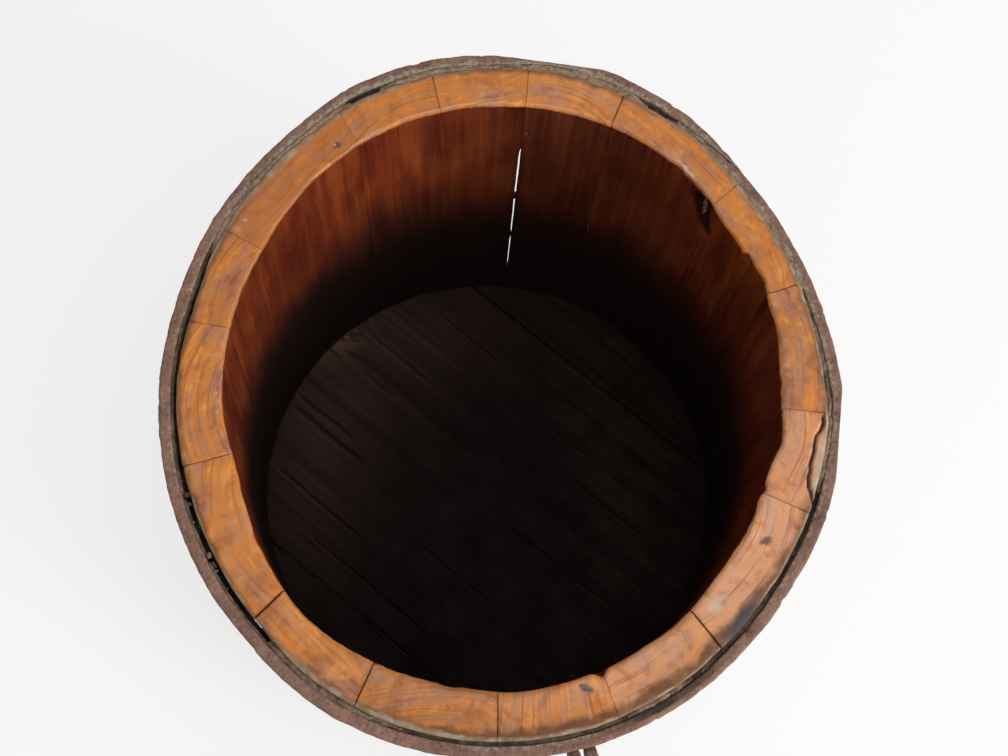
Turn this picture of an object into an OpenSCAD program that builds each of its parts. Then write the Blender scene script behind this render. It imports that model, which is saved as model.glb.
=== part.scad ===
// Coopered wooden bucket: sixteen staves round a three-board floor, held by
// three lapped and riveted iron hoops, with one folded eye under the top hoop.
// Drying has pulled the mouth to an oval, while the floor is still round.
// Z is up; the origin is on the ground, under the middle of the floor.

/* [Bucket] */
// Half-width of the mouth inside, side to side
mouth_half_x = 125; // [100:1:160]
// Half-width of the mouth inside, front to back
mouth_half_y = 138; // [100:1:170]
// Inside radius at the floor
floor_r = 125; // [100:1:160]
// Depth from the rim down to the floor boards
depth = 208; // [150:1:320]
// Thickness of the staves
wall = 17; // [14:0.5:24]
// Height of the chime, the stave ends below the floor
chime = 14; // [8:1:25]
// Radius of the wear on the rim's inner edge
rim_wear = 4; // [1:0.5:6]
// Worn corner on the rim's outer edge
edge_wear = 1.5; // [0.5:0.5:3]
// Azimuth of the first stave joint, from +X
first_joint = 2; // [0:1:359]

/* [Open joint] */
// Which joint has opened, counting from the first
open_joint = 5; // [1:1:16]
// Widest gap of the open joint
open_gap = 1.6; // [0.6:0.1:3]
// Distance from the rim to the upper end of the gap
open_below_rim = 42; // [10:1:80]
// Distance from the floor to the lower end of the gap
open_above_floor = 6; // [2:1:40]

/* [Floor] */
// Thickness of the floor boards
floor_t = 16; // [12:0.5:22]
// Depth of the croze, the groove that holds the floor
croze_depth = 6; // [3:0.5:8]
// Height of the croze at its bottom
croze_h = 8; // [5:0.5:10]
// Shrinkage gap between the floor and its groove
croze_gap = 0.2; // [0.1:0.1:0.6]
// Direction of the floor's grain, from +X
floor_grain = -32; // [-90:1:90]
// Distance from the middle to the front joint between boards, as a share of the floor's radius
front_joint = 0.8; // [0.4:0.01:0.85]
// Distance from the middle to the back joint between boards, as a share of the floor's radius
back_joint = 0.72; // [0.4:0.01:0.85]
// Diameter of the dowels between the boards
dowel_d = 8; // [5:0.5:9]
// Length of the dowels between the boards
dowel_len = 30; // [20:1:36]
// Distance from the middle of a joint to each of its dowels
dowel_spread = 40; // [20:1:50]

/* [Top hoop] */
// Height of the top hoop
top_hoop_h = 40; // [20:1:55]
// Thickness of the top hoop
top_hoop_t = 5.8; // [2:0.2:7]
// Distance from the rim down to the hoop
top_hoop_drop = 3; // [1:1:15]
// Gap between the loose hoop and the wood at its sides
top_hoop_slack = 3.6; // [0.3:0.1:5]

/* [Middle hoop] */
// Height of the middle hoop
middle_hoop_h = 7; // [6:1:20]
// Thickness of the middle hoop
middle_hoop_t = 2; // [1.5:0.5:4]
// Distance from the rim down to the hoop
middle_hoop_drop = 126; // [90:1:150]

/* [Bottom hoop] */
// Height of the bottom hoop
bottom_hoop_h = 17; // [12:1:40]
// Thickness of the bottom hoop
bottom_hoop_t = 4; // [2:0.5:6]
// Height of the hoop's lower edge above the ground
bottom_hoop_rise = 1; // [0.5:0.5:10]

/* [Eye] */
// Azimuth of the eye, from +X
eye_turn = 290.5; // [280:0.5:292]
// Radius of the hole across the eye
eye_hole_r = 3.5; // [2.5:0.5:4]
// Width of the iron round the hole
eye_bar = 4; // [3:0.5:5]
// Thickness of each of the folded strap's two layers at the eye
eye_t = 5.5; // [4:0.5:7]
// Gap between the two layers
eye_gap = 2; // [1:0.5:4]
// Distance from the wood to the middle of the hole
eye_reach = 16; // [12:0.5:17]
// Distance from the top hoop down to the eye
eye_drop = 3; // [1:0.5:10]
// Thickness of the two legs that go through the wood
leg_t = 5; // [3:0.5:6]
// Length of each leg bent over inside the bucket
clinch = 14; // [8:1:20]

/* [Hidden] */
$fn = 48;
// Angular widths of the staves in degrees, going round from the first joint
STAVE_WIDTHS = [25, 22, 26.5, 17.5, 17, 18, 30.5, 18.5, 27, 29, 21, 22.5, 19, 20, 28, 18.5];
STAVES = len(STAVE_WIDTHS);
STATION = 4;        // widest step between the sections of a stave, in degrees
HOOP_STATION = 5;   // widest step between the sections of a hoop, in degrees
tight = 0.3;        // gap between a hoop and the wood where it still grips
scarf_t = 1;        // thickness of a hoop's two ends, forged thin where they lap
lap_gap = 0.15;     // gap between the two layers of a lap
lap_ramp = 8;       // degrees over which a hoop climbs onto its own end
hoop_corner = 0.8;  // rusted corner of a hoop's section
rivet_gap = 0.05;   // gap between a rivet and its hole
rivet_seat = 0.1;   // gap between a rivet's head and the hoop's curve
leg_clear = 0.5;    // gap between the eye's legs and the wood
dowel_clear = 0.05; // gap round a dowel
chime_bevel = 3;    // bevel on the inside of the stave ends
over = 1;           // how far a cut runs past the surface it opens

floor_top = chime + floor_t;
front_y = -front_joint * floor_r;
back_y = back_joint * floor_r;
height = floor_top + depth;
croze_r = floor_r + croze_depth;
joints = [for (i = 0, a = first_joint; i <= STAVES;
               a = a + 360 * STAVE_WIDTHS[i % STAVES] / total(STAVE_WIDTHS), i = i + 1) a];

// one hoop: height of its lower edge, height, thickness, side gap, azimuth of its outer end, lap width
TOP_HOOP = [height - top_hoop_drop - top_hoop_h, top_hoop_h, top_hoop_t, top_hoop_slack, 49, 16];
MIDDLE_HOOP = [height - middle_hoop_drop - middle_hoop_h, middle_hoop_h, middle_hoop_t, tight, 150, 12];
BOTTOM_HOOP = [bottom_hoop_rise, bottom_hoop_h, bottom_hoop_t, tight, 215, 14];
// one set of rivets: shank radius, head radius, head height, places along the lap
TOP_RIVETS = [3, 6, 2.5, [0.28, 0.72]];
MIDDLE_RIVETS = [1.25, 2.6, 1.2, [0.5]];
BOTTOM_RIVETS = [2.5, 4.5, 2, [0.3, 0.7]];

function total(v, i = 0) = i == len(v) ? 0 : v[i] + total(v, i + 1);
function two_digits(i) = i < 10 ? str("0", i) : str(i);
function stave_name(i) = str("stave_", two_digits(i));

STAVE_NODES = [for (i = [1:STAVES]) stave_name(i)];

// ---- surfaces ----

function mouth_r(a) = mouth_half_x * mouth_half_y
    / norm([mouth_half_y * cos(a), mouth_half_x * sin(a)]);
// the wall is round up to the floor, then goes straight to the oval mouth
function inner_r(a, z) = floor_r + (mouth_r(a) - floor_r) * max(0, z - floor_top) / depth;
function outer_r(a, z) = inner_r(a, z) + wall;
function on_wall(r, a, z) = [r * cos(a), r * sin(a), z];
// how far a surface turns away from facing its azimuth, from its radius 1 degree to each side
function swing(before, at, after) = atan((after - before) / 2 * 180 / PI / at);
// how far a surface leans out, from its radius 1 mm below and above
function lean(below, above) = atan((above - below) / 2);

// the solid that a profile of [radius, height] points sweeps round the axis
module sweep(sections) {
    n = len(sections);
    m = len(sections[0]);
    sides = [for (k = [0:n - 2], j = [0:m - 1], half = [0, 1])
        let (a = k * m + j, b = k * m + (j + 1) % m, c = b + m, d = a + m)
        half == 0 ? [a, d, c] : [a, c, b]];
    first = [for (j = [0:m - 1]) j];
    last = [for (j = [m - 1:-1:0]) (n - 1) * m + j];
    polyhedron([for (s = sections, p = s) p], concat([first], sides, [last]), convexity = 6);
}

// ---- staves ----

function stave_profile(a) = [
    [inner_r(a, 0) + chime_bevel, 0],
    [inner_r(a, chime_bevel), chime_bevel],
    [inner_r(a, floor_top), floor_top],
    for (t = [0:30:90])
        [inner_r(a, height - rim_wear) + rim_wear * (1 - cos(t)), height - rim_wear * (1 - sin(t))],
    [outer_r(a, height) - edge_wear, height],
    [outer_r(a, height - edge_wear), height - edge_wear],
    [outer_r(a, floor_top), floor_top],
    [outer_r(a, 0), 0]];

module stave_blank(i) {
    from = joints[i - 1];
    to = joints[i];
    steps = ceil((to - from) / STATION);
    sweep([for (k = [0:steps]) let (a = from + (to - from) * k / steps)
        [for (p = stave_profile(a)) on_wall(p[0], a, p[1])]]);
}

// the floor with its bevelled edge; grown, it is the cut that leaves the croze in the staves
module round_floor(r, grow) {
    low = chime + (floor_t - croze_h) / 2;
    rotate_extrude($fn = 96)
        polygon([[0, chime - grow], [floor_r - croze_gap, chime - grow],
                 [r, low - grow], [r, low + croze_h + grow],
                 [floor_r - croze_gap, floor_top + grow], [0, floor_top + grow]]);
}

// the gap of the open joint: full width over most of its length, narrowing to blunt ends
module open_joint_gap() {
    low = floor_top + open_above_floor;
    high = height - open_below_rim;
    half_gap = [for (p = [[0, 0.35], [0.06, 0.8], [0.2, 1], [0.8, 1], [0.94, 0.8], [1, 0.35]])
        [open_gap / 2 * p[1], low + (high - low) * p[0]]];
    rotate([0, 0, joints[open_joint - 1]])
        translate([floor_r / 2, 0, 0])
            rotate([90, 0, 90])
                linear_extrude(floor_r + mouth_half_y)
                    polygon(concat(half_gap, [for (k = [len(half_gap) - 1:-1:0])
                        [-half_gap[k][0], half_gap[k][1]]]));
}

function beside_open_joint(i) = i == open_joint || i % STAVES + 1 == open_joint;
function carries_eye(i) = let (turn = (eye_turn - joints[0]) % 360 + joints[0])
    turn >= joints[i - 1] && turn < joints[i];

module stave(i) color("peru") difference() {
    stave_blank(i);
    round_floor(croze_r, croze_gap);
    if (beside_open_joint(i)) open_joint_gap();
    if (carries_eye(i)) place_eye() leg_slot();
}

// ---- floor ----

module board_strip(from, to) {
    rotate([0, 0, floor_grain])
        translate([-croze_r - over, from, 0])
            cube([2 * (croze_r + over), to - from, height]);
}

module dowels(clear) {
    rotate([0, 0, floor_grain])
        for (y = [front_y, back_y], x = [-dowel_spread, dowel_spread])
            translate([x, y, chime + floor_t / 2])
                rotate([90, 0, 0])
                    cylinder(d = dowel_d + 2 * clear, h = dowel_len + 2 * clear, center = true);
}

module floor_board(from, to) color("sienna") difference() {
    intersection() {
        round_floor(croze_r - croze_gap, 0);
        board_strip(from, to);
    }
    dowels(dowel_clear);
}

module floor_front() floor_board(-croze_r - over, front_y);
module floor_middle() floor_board(front_y, back_y);
module floor_back() floor_board(back_y, croze_r + over);
module floor_dowels() color("tan") dowels(0);

// ---- hoops and their rivets ----

// inner face of a hoop, lifted off the wood where the hoop is loose
function hoop_r(hoop, a, z) = outer_r(a, z) + tight + (hoop[3] - tight) * pow(cos(a), 2);
// a hoop is a strip that runs clockwise from its inner end, once round and over its own start;
// along is the number of degrees from that inner end
function strip_run(hoop) = 360 + hoop[5];
function strip_t(hoop, along) = scarf_t
    + (hoop[2] - scarf_t) * min(1, along / hoop[5], (strip_run(hoop) - along) / hoop[5]);
function lift(hoop, along) = along >= 360
    ? strip_t(hoop, along - 360) + lap_gap
    : (scarf_t + lap_gap) * (1 - cos(180 * max(0, (along - 360 + lap_ramp) / lap_ramp))) / 2;

function strip_profile(hoop, along) = let (low = hoop[0], high = hoop[0] + hoop[1], c = hoop_corner,
        a = hoop[4] + hoop[5] - along, t = strip_t(hoop, along), out = t - min(c, t / 2),
        r = function(z) hoop_r(hoop, a, z) + lift(hoop, along))
    [for (p = [[r(low) + t - out, low], [r(low), low + c], [r(high), high - c], [r(high) + t - out, high],
               [r(high) + out, high], [r(high) + t, high - c], [r(low) + t, low + c], [r(low) + out, low]])
        on_wall(p[0], a, p[1])];

module strip(hoop) {
    steps = ceil(strip_run(hoop) / HOOP_STATION);
    sweep([for (k = [steps:-1:0]) strip_profile(hoop, strip_run(hoop) * k / steps)]);
}

// thickness of both layers at a share of the lap, counted from the outer end
function grip(hoop, share) = strip_t(hoop, hoop[5] * (1 - share)) + lap_gap
    + strip_t(hoop, strip_run(hoop) - hoop[5] * share);

// puts its children on the lap's outer face, with X pointing straight out of the iron
module on_lap(hoop, share) {
    a = hoop[4] + hoop[5] * share;
    z = hoop[0] + hoop[1] / 2;
    r = hoop_r(hoop, a, z) + grip(hoop, share);
    facing = a - swing(hoop_r(hoop, a - 1, z), r, hoop_r(hoop, a + 1, z));
    tilt = lean(hoop_r(hoop, a, z - 1), hoop_r(hoop, a, z + 1));
    translate(on_wall(r, a, z)) rotate([0, 0, facing]) rotate([0, tilt, 0]) children();
}

module hoop_iron(hoop, rivets) color("saddlebrown") difference() {
    strip(hoop);
    for (share = rivets[3]) on_lap(hoop, share) rotate([0, -90, 0])
        cylinder(r = rivets[0] + rivet_gap, h = 4 * hoop[2] + 2 * over, center = true);
}

module dome(r, h) {
    ball = (r * r + h * h) / (2 * h);
    intersection() {
        translate([0, 0, h - ball]) sphere(ball);
        cylinder(r = r + over, h = h + over);
    }
}

module hoop_rivets(hoop, rivets) color("dimgray")
    for (share = rivets[3]) on_lap(hoop, share) rotate([0, 90, 0]) {
        shank = grip(hoop, share);
        translate([0, 0, -shank]) cylinder(r = rivets[0], h = shank + rivet_seat + rivets[2] / 2);
        translate([0, 0, rivet_seat]) dome(rivets[1], rivets[2]);
    }

// ---- eye: a strap folded double, its two legs through the wood and clinched inside ----

head_r = eye_hole_r + eye_bar;
eye_z = TOP_HOOP[0] - eye_drop - head_r;
layer_y = (eye_gap + eye_t) / 2;

// puts its children on the wood at the eye, with X pointing straight out
module place_eye() {
    r = outer_r(eye_turn, eye_z);
    facing = eye_turn - swing(outer_r(eye_turn - 1, eye_z), r, outer_r(eye_turn + 1, eye_z));
    translate(on_wall(r, eye_turn, eye_z)) rotate([0, 0, facing]) children();
}

module leg_slot()
    cube([3 * wall, 2 * layer_y + leg_t + 2 * leg_clear, leg_t + 2 * leg_clear], center = true);

// one leg from the eye through the stave, its tip bent up (1) or down (-1) along the leaning inside
module leg(way) {
    tilt = lean(inner_r(eye_turn, eye_z - 1), inner_r(eye_turn, eye_z + 1));
    root = eye_reach - eye_hole_r - eye_bar / 2;
    tip = function(back, along) [-wall - leg_clear - back + way * along * tan(tilt), way * along];
    rotate([90, 0, 0]) linear_extrude(leg_t, center = true)
        polygon([[root, -way * leg_t / 2], [root, way * leg_t / 2],
                 tip(0, leg_t / 2), tip(0, clinch), tip(leg_t, clinch), tip(leg_t, -leg_t / 2)]);
}

module folded_eye() color("saddlebrown") place_eye() difference() {
    union() {
        for (way = [-1, 1]) translate([0, way * layer_y, 0]) {
            translate([eye_reach, 0, 0]) rotate([90, 0, 0])
                cylinder(r = head_r, h = eye_t, center = true);
            leg(way);
        }
        translate([eye_reach + eye_hole_r + eye_bar * 0.6, 0, 0])
            cube([eye_bar / 2, 2 * layer_y, eye_bar], center = true);
    }
    translate([eye_reach, 0, 0]) rotate([90, 0, 0])
        cylinder(r = eye_hole_r, h = eye_gap + 2 * eye_t + 2 * over, center = true);
}

for (i = [1:STAVES]) stave(i);
floor_front();
floor_middle();
floor_back();
floor_dowels();
hoop_iron(TOP_HOOP, TOP_RIVETS);  // top_hoop
hoop_rivets(TOP_HOOP, TOP_RIVETS);  // top_hoop_rivets
hoop_iron(MIDDLE_HOOP, MIDDLE_RIVETS);  // middle_hoop
hoop_rivets(MIDDLE_HOOP, MIDDLE_RIVETS);  // middle_hoop_rivet
hoop_iron(BOTTOM_HOOP, BOTTOM_RIVETS);  // bottom_hoop
hoop_rivets(BOTTOM_HOOP, BOTTOM_RIVETS);  // bottom_hoop_rivets
folded_eye();
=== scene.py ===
"""Looks of an old coopered wooden bucket with rusty hoops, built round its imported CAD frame.

Lengths are in millimetres until a mesh is made; azimuths are in degrees from +X round the bucket's axis.
"""
import math
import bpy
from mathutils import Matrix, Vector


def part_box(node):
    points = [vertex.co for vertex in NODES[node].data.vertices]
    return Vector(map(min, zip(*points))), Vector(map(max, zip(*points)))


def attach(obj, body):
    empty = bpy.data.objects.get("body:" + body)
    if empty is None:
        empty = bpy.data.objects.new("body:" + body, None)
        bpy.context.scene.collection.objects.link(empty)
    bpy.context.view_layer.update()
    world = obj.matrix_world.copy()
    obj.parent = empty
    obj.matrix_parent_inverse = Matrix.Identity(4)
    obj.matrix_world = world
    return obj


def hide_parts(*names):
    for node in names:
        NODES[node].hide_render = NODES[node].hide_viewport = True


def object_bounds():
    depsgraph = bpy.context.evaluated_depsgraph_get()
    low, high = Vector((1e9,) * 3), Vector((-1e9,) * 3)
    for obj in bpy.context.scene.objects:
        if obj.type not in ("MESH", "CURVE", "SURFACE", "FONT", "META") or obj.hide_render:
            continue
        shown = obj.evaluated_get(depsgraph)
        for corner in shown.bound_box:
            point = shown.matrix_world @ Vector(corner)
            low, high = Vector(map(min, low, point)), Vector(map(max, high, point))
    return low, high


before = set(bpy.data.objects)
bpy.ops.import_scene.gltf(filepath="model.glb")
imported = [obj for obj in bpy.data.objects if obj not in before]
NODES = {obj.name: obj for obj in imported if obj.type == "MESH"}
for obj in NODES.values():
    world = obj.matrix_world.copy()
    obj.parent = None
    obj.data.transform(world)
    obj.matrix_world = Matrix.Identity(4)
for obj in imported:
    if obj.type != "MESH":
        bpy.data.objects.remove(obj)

from types import SimpleNamespace

import bpy
import numpy as np
from mathutils import Matrix, Vector
from mathutils.bvhtree import BVHTree

CAD_BOX = [list(corner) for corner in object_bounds()]
MM = 0.001
STAVES = sorted(name for name in NODES if name.startswith("stave_"))
RIM = max(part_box(name)[1].z for name in STAVES) / MM
FLOOR_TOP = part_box("floor_middle")[1].z / MM
FLOOR_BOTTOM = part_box("floor_middle")[0].z / MM


# ---------------------------------------------------------------- noise

def lattice(ix, iy, iz, seed):
    """A repeatable value from -1 to 1 for each lattice point."""
    h = (ix * 374761393 + iy * 668265263 + iz * 1440662683 + seed * 1274126177) & 0xFFFFFFFF
    h = ((h ^ (h >> 13)) * 1103515245) & 0xFFFFFFFF
    h = ((h ^ (h >> 16)) * 2246822519) & 0xFFFFFFFF
    return ((h ^ (h >> 15)) & 0xFFFFFF) / float(0x7FFFFF) - 1.0


def noise(points, scale, seed=0, octaves=1):
    """Smooth noise from about -1 to 1 at points (n, 3); scale is the size of its lumps, one number or three."""
    points = np.asarray(points, float) / scale
    total, gain, weight = np.zeros(len(points)), 1.0, 0.0
    for octave in range(octaves):
        base = np.floor(points).astype(np.int64)
        f = points - base
        f = f * f * (3 - 2 * f)
        value = np.zeros(len(points))
        for corner in np.ndindex(2, 2, 2):
            share = np.where(corner, f, 1 - f).prod(axis=1)
            value += share * lattice(*(base + corner).T, seed + octave)
        total += gain * value
        weight += gain
        gain *= 0.5
        points = points * 2.03 + 17.7
    return total / weight


def smooth(x, low, high):
    """0 below low, 1 above high, and an S curve between them."""
    t = np.clip((np.asarray(x, float) - low) / (high - low), 0, 1)
    return t * t * (3 - 2 * t)


def bell(x, middle, half_width):
    return np.exp(-((np.asarray(x, float) - middle) / half_width) ** 2)


def turn(a, b):
    """How far azimuth a is past azimuth b, from -180 to 180."""
    return (np.asarray(a, float) - b + 180) % 360 - 180


def near(azimuth, middle, half_width):
    return bell(turn(azimuth, middle), 0, half_width)


def by_azimuth(table, azimuth):
    """A table of values spread evenly round the circle, read at any azimuth."""
    return np.interp(azimuth, np.arange(len(table)) * 360 / len(table), table, period=360)


# ---------------------------------------------------------------- mesh tools

def box_shell(steps):
    """Grid steps (n, 3) and quads of the surface of a box with that many cells a side."""
    index = -np.ones([s + 1 for s in steps], int)
    grid = np.indices(index.shape)
    on = np.zeros(index.shape, bool)
    for axis in range(3):
        on |= (grid[axis] == 0) | (grid[axis] == steps[axis])
    index[on] = np.arange(on.sum())
    quads = []
    for axis in range(3):
        for end, outward in ((0, axis == 1), (-1, axis != 1)):
            g = np.take(index, end, axis)
            q = np.stack([g[:-1, :-1], g[1:, :-1], g[1:, 1:], g[:-1, 1:]], -1).reshape(-1, 4)
            quads.append(q if outward else q[:, ::-1])
    return np.stack([g[on] for g in grid], 1), np.concatenate(quads)


def spacing(length, fine, coarse):
    """Positions from 0 to length, finely spaced near both ends."""
    steps, x = [0.0], 0.0
    while x < length:
        x += min(coarse, fine + 0.22 * min(x, length - x))
        steps.append(x)
    return np.array(steps) * length / steps[-1]


def push(p, q, r):
    """Moves points on a square corner onto a round one: how far each goes in from faces p and q."""
    r = np.broadcast_to(np.asarray(r, float), p.shape)
    inside = (p < r) & (q < r)
    dx, dy = r - p, r - q
    n = np.maximum(np.hypot(dx, dy), 1e-9)
    return np.where(inside, r - r * dx / n - p, 0), np.where(inside, r - r * dy / n - q, 0)


def polar(radius, azimuth, z):
    a = np.radians(azimuth)
    return np.stack([radius * np.cos(a), radius * np.sin(a), np.broadcast_to(z, np.shape(radius))], 1)


def make(name, points, faces, material, node, fields):
    """A mesh object from points in mm, riding on the bucket, with its shading fields as attributes."""
    mesh = bpy.data.meshes.new(name)
    mesh.from_pydata((np.asarray(points) * MM).tolist(), [], np.asarray(faces).tolist())
    for key, values in fields.items():
        values = np.asarray(values, np.float32)
        if values.ndim == 2:
            mesh.attributes.new(key, "FLOAT_VECTOR", "POINT").data.foreach_set("vector", values.ravel())
        else:
            mesh.attributes.new(key, "FLOAT", "POINT").data.foreach_set("value", values)
    mesh.polygons.foreach_set("use_smooth", np.ones(len(mesh.polygons), bool))
    mesh.materials.append(material)
    mesh.update()
    piece = bpy.data.objects.new(name, mesh)
    bpy.context.scene.collection.objects.link(piece)
    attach(piece, "root")
    if node:
        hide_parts(node)
    return piece


def normals(points, faces):
    a, b, c, d = (points[faces[:, k]] for k in range(4))
    face = np.cross(c - a, d - b)
    out = np.zeros_like(points)
    for k in range(4):
        np.add.at(out, faces[:, k], face)
    return out / np.maximum(np.linalg.norm(out, axis=1, keepdims=True), 1e-12)


# ---------------------------------------------------------------- what the CAD frame measures

def cad_tree(names):
    points, faces = [], []
    for name in names:
        mesh = NODES[name].data
        first = len(points)
        points += [v.co.copy() for v in mesh.vertices]
        faces += [[first + v for v in p.vertices] for p in mesh.polygons]
    return BVHTree.FromPolygons(points, faces)


def crossings(tree, azimuth, z):
    """Radii in mm at which a level line from the axis meets the CAD faces."""
    way = Vector((math.cos(math.radians(azimuth)), math.sin(math.radians(azimuth)), 0))
    start, radii = Vector((0, 0, z * MM)), []
    while True:
        hit = tree.ray_cast(start, way)[0]
        if hit is None:
            return radii
        radii.append(math.hypot(hit.x, hit.y) / MM)
        start = hit + way * 2e-5


WALL_AZIMUTHS = np.arange(0.37, 360, 1.5)    # clear of the joints, where a ray could slip between staves
WALL_LEVELS = (60.0, RIM - 10)               # above the floor and below the rounded rim


def measure_wall():
    tree = cad_tree(STAVES)
    rows = [[crossings(tree, a, z) for a in WALL_AZIMUTHS] for z in WALL_LEVELS]
    return [[np.array([hits[k] for hits in row]) for row in rows] for k in (0, -1)]


WALL_FACES = measure_wall()


def wall_face(side, azimuth, z):
    """Radius of the staves' inner (0) or outer (1) face."""
    low, high = (np.interp(azimuth, WALL_AZIMUTHS, level, period=360) for level in WALL_FACES[side])
    level = np.clip(z, FLOOR_TOP, RIM)
    return low + (high - low) * (level - WALL_LEVELS[0]) / (WALL_LEVELS[1] - WALL_LEVELS[0])


def azimuth_span(name):
    co = np.array([v.co[:2] for v in NODES[name].data.vertices])
    middle = math.degrees(math.atan2(*co.mean(0)[::-1])) % 360
    offset = turn(np.degrees(np.arctan2(co[:, 1], co[:, 0])), middle)
    return middle + offset.min(), middle + offset.max()


SPANS = {name: azimuth_span(name) for name in STAVES}
BOTTOM_HOOP_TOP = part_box("bottom_hoop")[1].z / MM
HOOP_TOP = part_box("top_hoop")[1].z / MM
HOOP_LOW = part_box("top_hoop")[0].z / MM
HOOP_AZIMUTHS = np.arange(0.5, 360, 1.0)


def measure_top_hoop():
    tree = cad_tree(["top_hoop"])
    return np.array([crossings(tree, a, HOOP_TOP - 3)[0] for a in HOOP_AZIMUTHS])


HOOP_INSIDE = measure_top_hoop()


def hoop_face(azimuth):
    """Radius of the top hoop's inner face near its top edge, spread as it is now."""
    return np.interp(azimuth, HOOP_AZIMUTHS, HOOP_INSIDE, period=360) + by_azimuth(HOOP_SPREAD, azimuth)


def wood_face(azimuth):
    """Radius of the staves' outer face at the rim, worn as it is now."""
    hoop = hoop_face(azimuth)
    worn = wall_face(1, azimuth, HOOP_TOP) + by_azimuth(OUTER_WEAR, azimuth)
    return np.minimum(np.maximum(worn, hoop - by_azimuth(WIDEST_GAP, azimuth)), hoop - 0.25)


# ---------------------------------------------------------------- materials

AMBER = (0.69, 0.275, 0.052)
ORANGE = (0.59, 0.19, 0.034)
TAN = (0.5, 0.195, 0.058)
PINKISH = (0.42, 0.185, 0.1)
BROWN = (0.27, 0.08, 0.03)


class Tree:
    """Builds nodes with short calls; inputs may be sockets or plain values."""

    def __init__(self, owner):
        owner.use_nodes = True
        self.nodes, self.links = owner.node_tree.nodes, owner.node_tree.links
        self.nodes.clear()

    def node(self, kind, inputs=None, **settings):
        n = self.nodes.new(kind)
        for key, value in settings.items():
            setattr(n, key, value)
        for key, value in (inputs or {}).items():
            self.put(n.inputs[key], value)
        return n

    def put(self, socket, value):
        if isinstance(value, bpy.types.NodeSocket):
            self.links.new(value, socket)
        elif isinstance(value, (tuple, list)) and socket.type == "RGBA":
            socket.default_value = tuple(value) + ((1.0,) if len(value) == 3 else ())
        else:
            socket.default_value = value


class Paint(Tree):
    """A node material round one principled shader."""

    def __init__(self, name):
        self.material = bpy.data.materials.new(name)
        super().__init__(self.material)
        self.shader = self.node("ShaderNodeBsdfPrincipled")
        self.output = self.node("ShaderNodeOutputMaterial", {"Surface": self.shader.outputs[0]})

    def field(self, name, kind="Fac"):
        return self.node("ShaderNodeAttribute", attribute_name=name, attribute_type="GEOMETRY").outputs[kind]

    def place(self):
        return self.node("ShaderNodeTexCoord").outputs["Object"]

    def math(self, operation, a, b, clamp=False):
        return self.node("ShaderNodeMath", {0: a, 1: b}, operation=operation, use_clamp=clamp).outputs[0]

    def times(self, a, b):
        return self.math("MULTIPLY", a, b)

    def plus(self, a, b, clamp=False):
        return self.math("ADD", a, b, clamp)

    def total(self, *parts):
        """Sum of (value, share) pairs."""
        values = [self.times(*part) for part in parts]
        result = values[0]
        for value in values[1:]:
            result = self.plus(result, value)
        return result

    def ruffle(self, field, noise, amount):
        """A field made uneven by noise about 0.5."""
        return self.plus(field, self.times(self.plus(noise, -0.5), amount))

    def noise(self, vector, scale, detail=3.0, roughness=0.55, distortion=0.0, stretch=None):
        if stretch:
            vector = self.node("ShaderNodeVectorMath", {0: vector, 1: stretch}, operation="MULTIPLY").outputs[0]
        return self.node("ShaderNodeTexNoise", {"Vector": vector, "Scale": scale, "Detail": detail,
                                                "Roughness": roughness, "Distortion": distortion}).outputs["Fac"]

    def ramp(self, fac, *stops):
        """Colour ramp with stops of (position, colour)."""
        n = self.node("ShaderNodeValToRGB", {"Fac": fac})
        elements = n.color_ramp.elements
        while len(elements) < len(stops):
            elements.new(0.5)
        for element, (position, colour) in zip(elements, stops):
            element.position = position
            element.color = colour + (1.0,)
        return n.outputs["Color"]

    def band(self, fac, low, high):
        """0 below low, 1 above high."""
        return self.node("ShaderNodeMapRange", {"Value": fac, "From Min": low, "From Max": high},
                         interpolation_type="SMOOTHSTEP").outputs["Result"]

    def span(self, fac, low, high, to_low, to_high):
        return self.node("ShaderNodeMapRange", {"Value": fac, "From Min": low, "From Max": high,
                                                "To Min": to_low, "To Max": to_high}).outputs["Result"]

    def mix(self, fac, a, b):
        n = self.node("ShaderNodeMix", data_type="RGBA", blend_type="MIX")
        for key, value in ((0, fac), (6, a), (7, b)):
            self.put(n.inputs[key], value)
        return n.outputs[2]

    def layer(self, colour, *layers):
        """A colour under layers of (mask, how strongly it covers, colour)."""
        for mask, cover, over in layers:
            colour = self.mix(self.times(mask, cover), colour, over)
        return colour

    def bump(self, height, distance, strength):
        return self.node("ShaderNodeBump", {"Height": height, "Distance": distance,
                                            "Strength": strength}).outputs["Normal"]

    def finish(self, colour, roughness, normal, **plain):
        inputs = {"Base Color": colour, "Roughness": roughness, "Normal": normal}
        inputs.update((key.replace("_", " "), value) for key, value in plain.items())
        for key, value in inputs.items():
            self.put(self.shader.inputs[key], value)
        return self.material


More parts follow.
